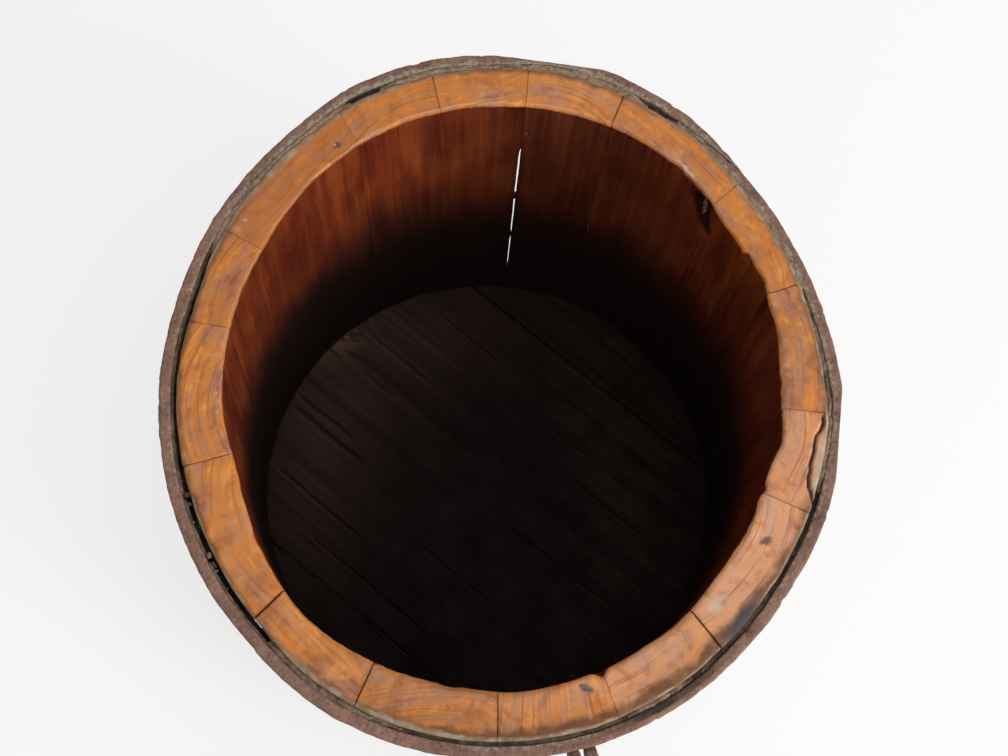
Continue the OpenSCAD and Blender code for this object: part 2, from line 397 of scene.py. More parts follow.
def stave_material():
    """Varnished old wood: orange-tan end grain on the rim with a painted reflection on the palest staves, dark
    red-brown inside with painted shade low down, weathered outside.
    """
    m = Paint("stave_wood")
    grain, figure = m.field("grain", "Vector"), m.field("figure", "Vector")
    tone_and_sheen, rim, outside, stain, pale_and_highlight, grime_and_shade, crust, low = (
        m.field(name) for name in ("tone_and_sheen", "rim", "outside", "stain", "pale_and_highlight", "grime_and_shade", "crust", "low"))
    broad = m.noise(grain, 0.035, 3, 0.6, stretch=(1.0, 1.0, 0.12))
    clouds = m.noise(grain, 0.06, 2, 0.45, stretch=(1.0, 1.0, 0.4))
    streaks = m.noise(grain, 0.22, 3, 0.6, stretch=(1.0, 1.0, 0.016))
    fibres = m.noise(grain, 0.9, 4, 0.65, stretch=(1.0, 1.0, 0.03))
    mottle = m.noise(grain, 0.13, 4, 0.62, 0.4)
    pores = m.noise(grain, 1.1, 3, 0.7)

    # end grain, drawn out along the growth rings
    blotch = m.noise(figure, 1.0, 4, 0.6, 0.6, (0.055, 0.11, 1.0))
    bands = m.noise(figure, 1.0, 3, 0.6, 0.5, (0.03, 0.34, 1.0))
    lines = m.noise(figure, 1.0, 3, 0.6, 0.3, (0.02, 0.95, 1.0))
    end = m.ramp(m.total((bands, 0.45), (blotch, 0.55)),
                 (0.37, AMBER), (0.45, ORANGE), (0.52, TAN), (0.575, PINKISH), (0.66, BROWN))
    # pale staves take a painted pinkish reflection over their own tone
    end = m.layer(end, (m.band(tone_and_sheen, 0.35, 1.0), 0.6, (0.66, 0.36, 0.225)),
                  (m.band(lines, 0.54, 0.68), 0.6, (0.26, 0.08, 0.032)),
                  (m.band(mottle, 0.5, 0.68), 0.5, (0.3, 0.088, 0.03)),
                  (m.band(mottle, 0.44, 0.32), 0.35, (0.72, 0.33, 0.1)),
                  (m.band(pores, 0.56, 0.75), 0.22, (0.22, 0.08, 0.035)),
                  (m.band(tone_and_sheen, 0.35, 0.0), 0.45, (0.36, 0.105, 0.026)))

    # inner wall, painted nearly black low down as shade
    inside = m.ramp(m.total((streaks, 0.34), (clouds, 0.4), (fibres, 0.26)),
                    (0.36, (0.095, 0.0145, 0.0065)), (0.46, (0.165, 0.028, 0.0092)),
                    (0.54, (0.232, 0.0435, 0.0122)), (0.66, (0.33, 0.074, 0.0185)))
    inside = m.layer(inside, (m.band(broad, 0.48, 0.72), 0.55, (0.085, 0.012, 0.004)))
    # painted shade deepening towards the bottom of the wall
    inside = m.mix(m.band(low, 0.0, 1.0), inside, (0.0135, 0.0044, 0.0028))

    outer = m.ramp(m.total((streaks, 0.31), (fibres, 0.36), (clouds, 0.33)),
                   (0.32, (0.07, 0.036, 0.019)), (0.45, (0.15, 0.076, 0.036)),
                   (0.56, (0.23, 0.12, 0.056)), (0.7, (0.33, 0.2, 0.11)))
    outer = m.layer(outer, (tone_and_sheen, 0.35, (0.26, 0.155, 0.085)),
                    (m.band(broad, 0.45, 0.7), 0.55, (0.115, 0.072, 0.048)))

    # dirt and painted shade, crust, dark stains, and pale marks and painted highlights over the wood
    dust = m.band(m.ruffle(grime_and_shade, mottle, m.times(grime_and_shade, 1.9)), 0.05, 1.15)
    ragged = m.total((m.plus(pores, -0.5), 0.5), (m.plus(mottle, -0.5), 1.6))
    scale = m.band(m.plus(crust, m.times(ragged, m.band(crust, 0.0, 0.2))), 0.15, 1.05)
    scale_tint = m.ramp(mottle, (0.36, (0.2, 0.125, 0.075)), (0.5, (0.29, 0.205, 0.13)),
                        (0.64, (0.4, 0.32, 0.225)))
    stained = m.band(m.ruffle(stain, pores, 0.5), 0.2, 0.95)
    rim_stain = m.mix(m.band(stain, 0.5, 1.0), (0.16, 0.075, 0.06), (0.056, 0.057, 0.062))
    whitened_and_highlit = m.band(m.ruffle(pale_and_highlight, mottle, 0.9), 0.25, 0.9)
    wall_pale = m.mix(m.band(pale_and_highlight, 1.0, 1.2), (0.4, 0.14, 0.045), (0.15, 0.112, 0.12))
    colour = m.mix(outside, inside, outer)
    colour = m.mix(m.band(m.ruffle(rim, mottle, 0.25), 0.4, 0.6), colour, end)
    colour = m.layer(colour, (dust, 0.86, (0.105, 0.05, 0.027)), (scale, 0.8, scale_tint),
                     (stained, 0.9, m.mix(rim, (0.012, 0.0045, 0.003), rim_stain)),
                     (whitened_and_highlit, 0.85, m.mix(rim, wall_pale, (0.58, 0.43, 0.31))))

    dull = m.math("MAXIMUM", m.math("MAXIMUM", dust, scale), whitened_and_highlit)
    rough = m.plus(m.span(mottle, 0.3, 0.7, 0.24, 0.42), m.times(outside, 0.3))
    rough = m.plus(m.plus(rough, m.times(low, 0.35)), m.times(dull, 0.4), clamp=True)
    height = m.total((fibres, 0.5), (pores, 0.4), (m.times(pores, scale), 1.6))
    return m.finish(colour, rough, m.bump(height, 0.0004, 0.35), Specular_IOR_Level=0.24,
                    Coat_Weight=m.field("polish"), Coat_Roughness=0.1)


def floor_material():
    """Nearly black old boards, split along the grain."""
    m = Paint("floor_wood")
    grain = m.field("grain", "Vector")
    along = (0.02, 1.0, 1.0)
    fibres = m.noise(grain, 0.8, 4, 0.65, stretch=along)
    streaks = m.noise(grain, 0.16, 3, 0.6, 0.3, along)
    mottle = m.noise(grain, 0.045, 4, 0.62)
    colour = m.ramp(m.total((fibres, 0.4), (streaks, 0.6)),
                    (0.32, (0.006, 0.0026, 0.002)), (0.48, (0.013, 0.0058, 0.0043)),
                    (0.62, (0.023, 0.011, 0.008)), (0.8, (0.04, 0.02, 0.014)))
    # a pale layer of painted light over the left of the floor
    colour = m.layer(colour, (m.band(mottle, 0.45, 0.7), 0.6, (0.0085, 0.0042, 0.0035)),
                     (m.field("painted_light"), m.span(streaks, 0.3, 0.7, 0.35, 1.0), (0.06, 0.033, 0.026)),
                     (m.field("worn"), 0.85, (0.17, 0.092, 0.05)))
    # painted shade darkening the middle of the floor
    colour = m.mix(m.field("dim"), colour, (0.0035, 0.0014, 0.0012))
    rough = m.span(mottle, 0.3, 0.7, 0.45, 0.7)
    return m.finish(colour, rough, m.bump(fibres, 0.0005, 0.5), Specular_IOR_Level=0.05)


def dowel_material():
    """Split oak, pale brown, for the hidden dowels."""
    m = Paint("dowel_wood")
    place = m.place()
    fibres = m.noise(place, 1.0, 4, 0.65, stretch=(260, 60, 260))
    mottle = m.noise(place, 90, 4, 0.6)
    colour = m.ramp(m.total((fibres, 0.6), (mottle, 0.4)),
                    (0.34, (0.09, 0.045, 0.022)), (0.5, (0.19, 0.1, 0.048)), (0.66, (0.3, 0.17, 0.085)))
    rough = m.span(mottle, 0.3, 0.7, 0.6, 0.8)
    return m.finish(colour, rough, m.bump(fibres, 0.0004, 0.5), Specular_IOR_Level=0.3)


def iron_material(name, dark, mid, light, dusty):
    """Rusted wrought iron: pitted, mottled, paler where crusted, black where sooty, and near black as painted shade
    where the soot field runs over 1.
    """
    m = Paint(name)
    place = m.place()
    crust, soot_and_shade = m.field("crust"), m.field("soot_and_shade")
    blotch = m.noise(place, 60, 5, 0.62, 0.3)
    fine = m.noise(place, 420, 4, 0.7)
    grit = m.noise(place, 1400, 3, 0.7)
    flakes = m.node("ShaderNodeTexVoronoi", {"Vector": place, "Scale": 520}).outputs["Distance"]
    dust = m.band(m.ruffle(crust, fine, 1.6), 0.25, 0.95)
    sooty = m.band(m.ruffle(soot_and_shade, blotch, 1.2), 0.3, 0.8)
    colour = m.ramp(m.total((blotch, 0.55), (fine, 0.45)),
                    (0.32, dark), (0.47, mid), (0.62, light), (0.8, (0.3, 0.125, 0.06)))
    colour = m.layer(colour, (m.band(flakes, 0.45, 0.15), 0.35, dark),
                     (m.band(blotch, 0.56, 0.7), 0.45, (0.24, 0.088, 0.048)),
                     (dust, 0.85, m.mix(m.band(fine, 0.35, 0.65), (0.185, 0.135, 0.095), dusty)),
                     (m.band(grit, 0.6, 0.78), 0.2, (0.36, 0.27, 0.22)),
                     (sooty, 0.95, (0.036, 0.023, 0.018)))
    # painted shade: near black where the soot field runs over 1, on the eye's legs inside the bucket
    colour = m.mix(m.band(soot_and_shade, 1.1, 1.4), colour, (0.005, 0.0025, 0.0018))
    rough = m.span(fine, 0.3, 0.7, 0.62, 0.88)
    height = m.total((fine, 0.65), (m.math("MINIMUM", flakes, 0.5), 0.6))
    return m.finish(colour, rough, m.bump(height, 0.0009, 0.75), Metallic=0.15, Specular_IOR_Level=0.16)


def crust_material():
    """Dried dirt, rust scale and old tallow between hoop and wood, turned near black as painted shade where it lies
    sunk in the gap.
    """
    m = Paint("gap_dirt_and_shade")
    place = m.place()
    broad = m.noise(place, 75, 4, 0.6)
    fine = m.noise(place, 620, 4, 0.7)
    colour = m.ramp(m.total((broad, 0.5), (fine, 0.5)),
                    (0.34, (0.105, 0.062, 0.042)), (0.45, (0.235, 0.152, 0.1)),
                    (0.55, (0.35, 0.25, 0.172)), (0.7, (0.52, 0.43, 0.33)))
    colour = m.layer(colour, (m.band(broad, 0.5, 0.62), 0.5, (0.185, 0.095, 0.06)))
    # painted shade: the dark field turns the dirt near black in the gap
    colour = m.mix(m.field("dark"), colour, (0.02, 0.013, 0.01))
    rough = m.span(fine, 0.3, 0.7, 0.8, 0.97)
    return m.finish(colour, rough, m.bump(fine, 0.0012, 0.9), Specular_IOR_Level=0.2)


WOOD = stave_material()
FLOOR_WOOD = floor_material()
RUST = iron_material("hoop_rust", (0.108, 0.06, 0.046), (0.212, 0.118, 0.086), (0.31, 0.18, 0.13),
                     (0.37, 0.315, 0.235))
EYE_RUST = iron_material("eye_rust", (0.12, 0.075, 0.058), (0.21, 0.14, 0.105), (0.32, 0.235, 0.185),
                         (0.44, 0.37, 0.3))
DIRT = crust_material()


# ---------------------------------------------------------------- staves

# how far the rim's inner edge stands outside (+) or inside (-) the fair oval, every 5 degrees
EDGE_WEAR = [
    0.5, -0.9, -0.9, -0.3, 0.6, 0.4, 1.2, -0.4, -2, -2.7, -1.9, -1, -0.5, -0.8, -1, -1, -1.1, -1.2, -1.3, -1.3, -1.3,
    -1.2, -1, -0.4, -0.2, -0.1, -0.3, -0.3, -0.3, -0.5, -0.5, -1, -1.1, -1.1, -0.9, -0.7, -0.6, -0.7, -1, -1.7, -2.6,
    -3.8, -4.1, -3.5, -2.1, -1.2, -0.5, 0.3, 0.8, 0.6, 0.1, -0.4, -0.9, -1.7, -1.7, -0.8, -0.5, -1.1, -1.1, -1.2, -1.2,
    -1.2, -1, -1.3, -1.9, -2.1, -2.1, -1.7, -1.3, -2, -1.2, 1.5]
# how far the wood's outer edge stands in or out, every 5 degrees, as far as the hoop lets it
OUTER_WEAR = [
    1.8, 2.4, 2.4, 1.5, 0.3, 0.2, 0.4, 0.3, 0, -0.2, -0.1, 0.1, -0.1, -0.6, -1, -0.9, -0.4, 0.9, 1.2, 1.2, 1, 1, 1.4,
    2.2, 2.6, 2.8, 2.2, 1.7, 2.1, 2.1, 2.2, 2, 2.1, 1.8, 1, 0.2, 0, 0, 0, 0, 0, -0.2, -0.5, -0.9, -1, -0.6, -0.1, 0.2,
    0.4, 0.8, 0.9, 1, 1.8, 2.2, 2.1, 2.2, 2.5, 2.6, 2.7, 2.7, 2.4, 2.3, 1.4, 0.8, 0.8, 1.4, 3, 3, 3, 3, 2.3, 1.5]
# how far the top edge of the top hoop has spread from the CAD's, every 5 degrees
HOOP_SPREAD = [
    2.3, 2.1, 0.6, -0.5, -1.5, -2.3, -2.9, -3.6, -3.6, -3.6, -3.6, -3, -1.6, -0.4, 0.9, 2.3, 3.2, 4.1, 3.9, 2.9, 2.7,
    3.6, 4.2, 4.2, 4.2, 4.2, 2.5, 1.3, 0.9, 0.7, 0.5, 0.4, 0.4, 0.2, -0.2, -0.2, 0.3, 0.7, 0.8, 0.8, 0.9, 1.1, 1.2,
    1.3, 1.5, 1.6, 1.6, 1.7, 2.5, 3.4, 3.9, 4.2, 4.2, 4.2, 4.2, 4.2, 4.2, 4.2, 4.2, 4.1, 3.7, 3.6, 3.4, 2.6, 2.3, 2,
    1.7, 1.8, 2.2, 2.3, 2.1, 2.1]
# widest the gap between wood and hoop stands, every 20 degrees
WIDEST_GAP = [1.6, 2.6, 2.6, 2.8, 3.2, 3.2, 2.8, 3, 2, 2.2, 2.6, 2.9, 2, 1.5, 1.3, 1.4, 1.7, 1.8]
# how crusted the inner half of the hoop's top edge is, every 20 degrees
HOOP_CRUST = [0.7, 0.8, 0.9, 0.9, 0.9, 0.9, 0.9, 0.9, 0.6, 0.3, 0.2, 0.15, 0.2, 0.3, 0.8, 0.35, 0.3, 0.5]
# width in mm of the crust on the rim's outer edge, every 20 degrees
CRUST_WIDTH = [1, 1.4, 2, 1.6, 0.8, 0.8, 2.2, 3, 1.2, 0.2, 0.3, 0.5, 1.8, 2, 1.4, 0.6, 0.5, 0.7]
# and of the dark band there, dirt with painted shadow beside the hoop
GRIME_AND_SHADE_WIDTH = [1.4, 1.4, 1.4, 1.4, 2.2, 2.2, 1.5, 1.5, 2.5, 1.4, 1.4, 1.6, 1.2, 1.2, 3, 4.2, 4, 2]
# notches and swellings of the inner edge: azimuth, half width in degrees, depth, height
NOTCHES = [
    (295.2, 1, 2.6, 16), (36.6, 0.4, 0.3, 4), (34.9, 1, 0.9, 22), (37.3, 0.9, -0.9, 22), (341, 2, -0.8, 30),
    (60, 1.6, 0.8, 8), (344.5, 0.9, 1.2, 16), (8, 1.2, 0.5, 8), (222, 1.5, 0.5, 8), (168, 1.2, 0.4, 7),
    (268, 1.6, 0.4, 9)]
# hollows rotted or knocked into the inner wall: azimuth, half width, middle (mm under the rim), half height, depth
HOLLOWS = [
    (52.3, 2.3, 13, 6, 4.2), (50.6, 1.9, 21, 7, 4.2), (48.2, 1.3, 27, 3.5, 2.8), (50.2, 1.3, 6.5, 4, 2.2),
    (344.6, 0.9, 36, 3.2, 1.6), (36.4, 0.8, 3, 3, 1.4), (38.6, 1.4, 136, 5, 0.8), (32, 1, 150, 4, 0.6)]
# gap at each joint, by the azimuth where the joint stands
JOINT_GAPS = {
    2: 0.04, 27: 0.16, 49: 0.02, 75.5: 0.22, 93: 0.1, 110: 0.04, 128: 0.02, 158.5: 0.05, 177: 0.1, 204: 0.2, 233: 0.7,
    254: 0.36, 276.5: 0.14, 295.5: 0.03, 315.5: 0.58, 343.5: 0.06}
# spots on the rim: azimuth, depth from the inner edge, half size in mm, strength of stain, of paleness; the pale ones
# from 56 to 61 degrees are a painted highlight on the inner edge
RIM_SPOTS = [
    (131.8, 6, 1.9, 1, 0), (130.6, 4.8, 4.6, 0.33, 0), (132, 6.4, 0.7, -0.9, 0.9), (134.5, 9, 1.4, 0.45, 0),
    (121.6, 7.4, 2.2, 0.4, 0), (291.6, 3.4, 1.7, 1.5, 0), (292.6, 5.4, 1.5, 1.05, 0), (290.9, 2, 1, 0.8, 0),
    (335.3, 7.7, 2.3, 1.15, 0), (334.4, 5.9, 1, 0.7, 0), (337.6, 9.6, 2.6, 0.33, 0), (320.9, 7.2, 4.6, 0, 0.8),
    (318.8, 4.6, 3.4, 0, 0.55), (320.9, 7.4, 1.9, 0.22, -0.6), (24.6, 2.6, 1.8, 0.1, 0.6), (60.6, 2.2, 1, 0, 0.5),
    (58.4, 1.2, 1.6, 0, 0.6), (56.4, 1, 1.4, 0, 0.5), (157.2, 13.5, 3.2, 0.1, 0.55), (155, 12.5, 1.2, 0, 0.8),
    (193.9, 13.2, 1.2, 0.9, 0), (49.5, 5.5, 2.6, 0.35, 0), (47.5, 10.5, 2.2, 0.25, 0), (105, 14, 3, 0.35, 0),
    (101, 14.5, 3, 0.3, 0), (191, 1.2, 1.5, 0, 0.75), (195, 1, 1.5, 0.1, 0.5), (198, 1.3, 1, 0.2, 0.6),
    (140, 10, 3.5, 0.25, 0), (148, 9, 2.5, 0.22, 0.1), (36, 3.2, 1, 0.8, 0), (297.5, 3.2, 3, 0.12, 0.25),
    (286, 13, 2.5, 0.35, 0), (265, 10, 3, 0.12, 0.2), (28.5, 1.6, 1, 0, 0.4), (66, 8, 1.4, 0, 0.35)]
# dark runs down the inner wall: azimuth, half width in degrees, length, strength
RUNS = [
    (67.6, 0.55, 34, 0.75), (65.6, 0.35, 26, 0.7), (63.2, 0.3, 24, 0.6), (61.2, 0.4, 30, 0.65), (71.5, 0.5, 40, 0.55),
    (74, 0.5, 30, 0.45), (57.5, 0.4, 16, 0.4), (95, 0.5, 30, 0.3), (100, 0.8, 22, 0.35), (88, 0.6, 26, 0.35),
    (20, 0.6, 50, 0.3), (185, 0.8, 40, 0.3), (126, 0.9, 18, 0.35), (144, 1.4, 16, 0.35), (152, 1, 26, 0.3),
    (12, 1.2, 46, 0.35), (30, 1, 40, 0.3), (42, 0.8, 44, 0.3)]
# light scratches on the inner wall: azimuth and depth under the rim of both ends, half width in mm, strength; the
# strong one at 52.6 degrees is a painted highlight down the hollow there
SCRATCHES = [
    (130.8, 14, 129.6, 92, 0.7, 0.62), (141.5, 6, 139.5, 40, 0.7, 0.5), (152, 14, 143, 36, 0.6, 0.5),
    (150, 60, 140, 48, 0.6, 0.4), (158, 5, 150.5, 24, 0.7, 0.6), (168, 6, 161, 66, 0.6, 0.55),
    (171, 30, 163, 60, 0.6, 0.5), (129, 34, 126, 37, 0.6, 0.6), (121, 52, 113, 62, 0.6, 0.45),
    (51, 122, 48, 125, 1.2, 0.75), (50, 166, 45.5, 180, 0.6, 0.4), (45.5, 180, 39, 170, 0.7, 0.55),
    (41, 132, 38.5, 138, 0.8, 0.6), (49, 42, 47.5, 94, 1.2, 0.4), (52.6, 11, 51.2, 24, 0.9, 1.5),
    (92.5, 27, 92.5, 30, 0.8, 0.7), (180, 30, 178, 52, 0.7, 0.6), (186, 76, 184, 84, 0.7, 0.6),
    (94.5, 18, 103, 21, 0.5, 0.4), (10, 40, 14, 90, 0.7, 0.2), (75.5, 70, 74.5, 150, 0.9, 0.45)]
# how pale the rim of each stave is, from 0 to 1; the palest, staves 14 to 16 at the front right, hold a painted
# reflection
TONES_AND_SHEEN = [0.42, 0.26, 0.24, 0.5, 0.34, 0.2, 0.06, 0.2, 0.4, 0.3, 0.4, 0.44, 0.5, 0.68, 0.9, 0.78]
BURN_AT = 321                                 # azimuth of the black smear on the rim's outer edge
HIGHLIGHT_AT = 58.5                              # and of the stretch of inner edge painted pale as a highlight
SHADED_BACK_AT = 84                                  # and of the darkest painted shade on the inner wall, at the back
OPEN_JOINT_START = 42                         # how far under the rim light starts to come through
SPLIT_STAVE = "stave_16"                      # its outer edge is split off
CROSSED_RINGS = 13                            # number of the stave cut with its growth rings lying across it
LIT_JOINT = {"stave_04": 1, "stave_05": 0}    # the two staves light comes between, and on which side


def open_joint_half_gap(z, depth):
    """Half width of the gap that lets light through, depth mm into the wood from the inner face."""
    low, high = BOTTOM_HOOP_TOP, RIM - OPEN_JOINT_START
    width = np.interp(z, [low, low + 5, 60, 90, 120, 150, 184, high - 3, high],
                      [0.0, 0.45, 0.5, 0.55, 0.62, 0.74, 0.76, 0.45, 0.3])
    ripple = 1 + 0.22 * noise(np.stack([z, 0 * z, 0 * z], 1), (3.5, 1, 1), 77, 2)
    speck = 1 - np.maximum(bell(z, 97.5, 2.2), bell(z, 193, 0.8)) * (depth < 3)
    return np.where((z > low) & (z < high), 0.82 * width * ripple * speck, 0.0)


def joint_gap(azimuth):
    return min(JOINT_GAPS.items(), key=lambda item: abs(turn(item[0], azimuth)))[1]


def stave_grid(number, name):
    """The stave's grid points, and how far each lies from its faces: in, out, over, under and two sides."""
    a0, a1 = SPANS[name]
    bottom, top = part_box(name)[0].z / MM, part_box(name)[1].z / MM
    inner, outer = (float(wall_face(side, (a0 + a1) / 2, RIM)) for side in (0, 1))
    width, wall = math.radians(a1 - a0) * (inner + 8), outer - inner
    depths = np.linspace(0, wall, 35) if name == SPLIT_STAVE else spacing(wall, 0.4, 1.0)
    sides = spacing(width, 0.3, 1.05)
    heights = top - spacing(top - bottom, 0.45, 3.2)[::-1]
    steps, faces = box_shell([len(depths) - 1, len(sides) - 1, len(heights) - 1])
    d_in, e0, z = depths[steps[:, 0]], sides[steps[:, 1]], heights[steps[:, 2]]
    az = a0 + (a1 - a0) * e0 / width
    return SimpleNamespace(
        number=number, name=name, faces=faces, width=width, wall=wall, az=az, z=z, share=d_in / wall,
        d_in=d_in, d_out=wall - d_in, dz=top - z, db=z - bottom, e=(e0, width - e0),
        gaps=(joint_gap(a0) / 2, joint_gap(a1) / 2), rng=np.random.default_rng(100 + number),
        round_az=np.stack([az, az * 0, az * 0], 1), here=np.stack([az * 2.3, z, 0 * z], 1))


def worn_corners(g):
    """How far points move in from each face where the corners are worn round."""
    away = {"in": g.d_in, "out": g.d_out, "top": g.dz, "low": g.db, 0: g.e[0], 1: g.e[1]}
    moved = {face: np.zeros_like(g.z) for face in away}
    wear = 1.9 + 0.5 * noise(g.round_az, 6.0, 7) - 0.9 * near(g.az, 133, 34)
    wear_out = 1.5 + 0.9 * noise(g.round_az, 3.0, 17, 2)
    corners = [("in", "top", wear), ("out", "top", wear_out), ("in", "low", 3.0), ("out", "low", 1.5)]
    corners += [(side, "top", 0.15 + g.gaps[side]) for side in (0, 1)]
    corners += [(side, "in", 0.12 + 0.5 * g.gaps[side]) for side in (0, 1)]
    corners += [(side, "out", 0.6) for side in (0, 1)]
    for a, b, r in corners:
        da, db = push(away[a], away[b], r)
        moved[a] += da
        moved[b] += db
    return moved


def worn_wall(g, moved):
    """Radius of each point, and the depth there of any hollow rotted into the inner face."""
    upper = smooth(g.z, RIM - 70, RIM)
    inward = by_azimuth(EDGE_WEAR, g.az) * (0.2 + 0.8 * upper)
    for at, half, depth, tall in NOTCHES:
        inward += depth * near(g.az, at, half) * smooth(g.dz, tall, tall * 0.15)
    hollow = np.zeros_like(g.z)
    for at, half, down, tall, depth in HOLLOWS:
        hollow += depth * near(g.az, at, half) * bell(g.dz, down, tall)
    inward += hollow
    inward += 0.35 * noise(g.here, (14, 60, 1), 3) + 0.15 * noise(g.here, (2.6, 24, 1), 40 + g.number)
    inner, outer = wall_face(0, g.az, g.z), wall_face(1, g.az, g.z)
    outward = 0.4 * noise(g.here, (16, 70, 1), 80) - 0.3
    outward += (wood_face(g.az) - wall_face(1, g.az, HOOP_TOP)) * smooth(g.dz, 40, 2)
    within_hoop = np.minimum(outward, hoop_face(g.az) - 0.25 - outer)
    outward = np.where(g.dz < 45, within_hoop, outward)
    radius = ((inner + inward) * (1 - g.share) + (outer + outward) * g.share
              + moved["in"] * (g.share < 0.5) - moved["out"] * (g.share > 0.5))
    return radius, hollow


def joint_turn(g, moved, radius):
    """Degrees each point turns so that joints gape at the rim, close below it, and one lets light through."""
    gape = smooth(g.dz, 14, 2)
    inset = [moved[side] + g.gaps[side] * gape * smooth(6 - g.e[side], 0, 6) for side in (0, 1)]
    if g.name in LIT_JOINT:
        side = LIT_JOINT[g.name]
        inset[side] += open_joint_half_gap(g.z, g.d_in) * smooth(5 - g.e[side], 0, 5)
    return np.degrees((inset[0] - inset[1]) / radius)


def split_off_edge(g, near_top, z, stain, pale_and_highlight):
    """A splinter split off the outer edge, with a crack behind it."""
    az = turn(g.az, 0)
    path = np.interp(az, [-14.4, -12, -8, -4.4, -1, 1.6], [16.8, 13.8, 12.6, 12.4, 14.0, 15.6])
    path = path + 0.45 * noise(g.round_az, 1.3, 33)
    crack = bell(g.d_in, path, 0.55) * smooth(az, -15.5, -13.5) * smooth(az, 2.2, 1.0)
    beyond = smooth(g.d_in - path, 0.3, 1.2) * smooth(az, -14.8, -13)
    z -= crack * 4.5 * smooth(g.dz, 2.5, 0.4)
    z -= beyond * near_top * 0.7
    pale_and_highlight += beyond * near_top * 0.6
    stain += crack * near_top * 1.5


def mark_rim(g, points, near_top, stain, pale_and_highlight):
    """Spots pressed into the rim, and a painted highlight along a stretch of the inner edge."""
    ragged = noise(points * [1, 1, 0], 1.9, 55, 2)
    for at, depth, size, dark, white in RIM_SPOTS:
        x, y, _ = polar(np.array([float(wall_face(0, at, RIM)) + depth]), at, 0.0)[0]
        far = np.hypot(points[:, 0] - x, points[:, 1] - y) / size
        far = far * (1 + 0.3 * ragged) * (1 - 0.5 * white * ragged)
        mask = np.exp(-far ** 2) * near_top * (g.share > 0)
        stain += dark * mask
        pale_and_highlight += white * mask
        points[:, 2] -= 0.35 * abs(dark) * mask
    # painted highlight along the inner edge
    pale_and_highlight += 0.75 * near(g.az, HIGHLIGHT_AT, 5.2) * bell(g.d_in, 1.0, 1.1) * near_top


def mark_wall(g, radius, hollow, stain, pale_and_highlight):
    """Dark hollows, light scratches, a painted highlight in one hollow, and dark runs on the inner wall."""
    facing_in = (g.share < 0.35) * smooth(g.dz, 0.5, 3.0)
    stain += 0.42 * hollow * facing_in
    sway = 0.5 * noise(g.here * [0, 1, 0], (1, 14, 1), 88)
    for az_a, down_a, az_b, down_b, half, strength in SCRATCHES:
        along = np.clip((g.dz - down_a) / (down_b - down_a), -0.05, 1.05)
        line = az_a + turn(az_b, az_a) * along + sway
        off = np.radians(turn(g.az, line)) * radius
        pale_and_highlight += strength * bell(off, 0, half) * bell(along, 0.5, 0.62) * facing_in * (abs(along - 0.5) < 0.54)
    for at, half, deep, strength in RUNS:
        stain += strength * near(g.az, at, half) * smooth(g.dz, deep, 3) * facing_in


def ring_figure(g):
    """Growth-ring coordinates: rings about a pith beside the stave, except in the one cut across them."""
    aside = g.e[0] - g.width / 2
    if g.number == CROSSED_RINGS:
        along, ring = g.d_in * 1.5, aside * 1.15 + 0.12 * g.d_in
    else:
        pith = g.rng.uniform(-18, 18), g.rng.choice([-1, 1]) * g.rng.uniform(60, 190)
        along, ring = aside, np.hypot(aside - pith[0], (g.d_in - g.wall / 2) - pith[1])
    return np.stack([along, ring, np.full(len(g.z), 7.3 * g.number)], 1)


def stave_fields(g, points, near_top, stain, pale_and_highlight):
    grain = np.stack([g.e[0] - g.width / 2 + 97 * g.number, g.d_in + 31 * g.number, g.z], 1)
    edge_noise = 1.02 + 0.5 * noise(points, 6.5, 71, 2)
    stain = stain + 1.05 * near(g.az, BURN_AT, 6.5) * smooth(g.d_out / edge_noise, 7.0, 1.5) * near_top
    crust = smooth(by_azimuth(CRUST_WIDTH, g.az) * edge_noise - g.d_out, -0.9, 0.9) * near_top
    joint, outside, rim_top = np.minimum(*g.e), g.share > 0.65, near_top * (g.share > 0)
    # dirt with painted shadow along the outer edge beside the hoop
    grime_and_shade = 0.95 * smooth(by_azimuth(GRIME_AND_SHADE_WIDTH, g.az) * edge_noise - g.d_out, -2.6, 2.0) * near_top
    grime_and_shade += 0.3 * smooth(joint, 0.9, 0.1) * rim_top
    grime_and_shade += (0.46 * near(g.az, 263, 30) + 0.24 * near(g.az, 18, 26)) * rim_top
    grime_and_shade += 0.5 * smooth(g.db, 30, 4) * outside
    grime_and_shade += 0.9 * smooth(joint, 1.3, 0.2) * outside * smooth(g.dz, 2, 6)
    grime_and_shade += 0.35 * bell(g.z, HOOP_LOW - 2, 9) * outside
    # painted shade: the wall is darkened low down, and a little at the back
    down = smooth(g.z + 7 * noise(g.here, (30, 40, 1), 90, 2), RIM - 28, FLOOR_TOP + 52)
    low = np.clip(np.maximum(down, 0.5 * near(g.az, SHADED_BACK_AT, 32)) * (g.share < 0.5), 0, 1)
    polish = bell(g.dz, 0.7, 0.9) * (g.share < 0.3) * (0.15 + 0.55 * near(g.az, 125, 45))
    rim = np.where(g.share < 0.5, smooth(g.dz, 3.4, 1.2), smooth(g.dz, 5.0, 1.0))
    return dict(grain=grain, figure=ring_figure(g), tone_and_sheen=np.full(len(g.z), TONES_AND_SHEEN[g.number - 1]), rim=rim,
                polish=polish, outside=(g.share > 0.5) * 1.0, stain=stain, pale_and_highlight=pale_and_highlight, grime_and_shade=grime_and_shade,
                crust=crust, low=low)


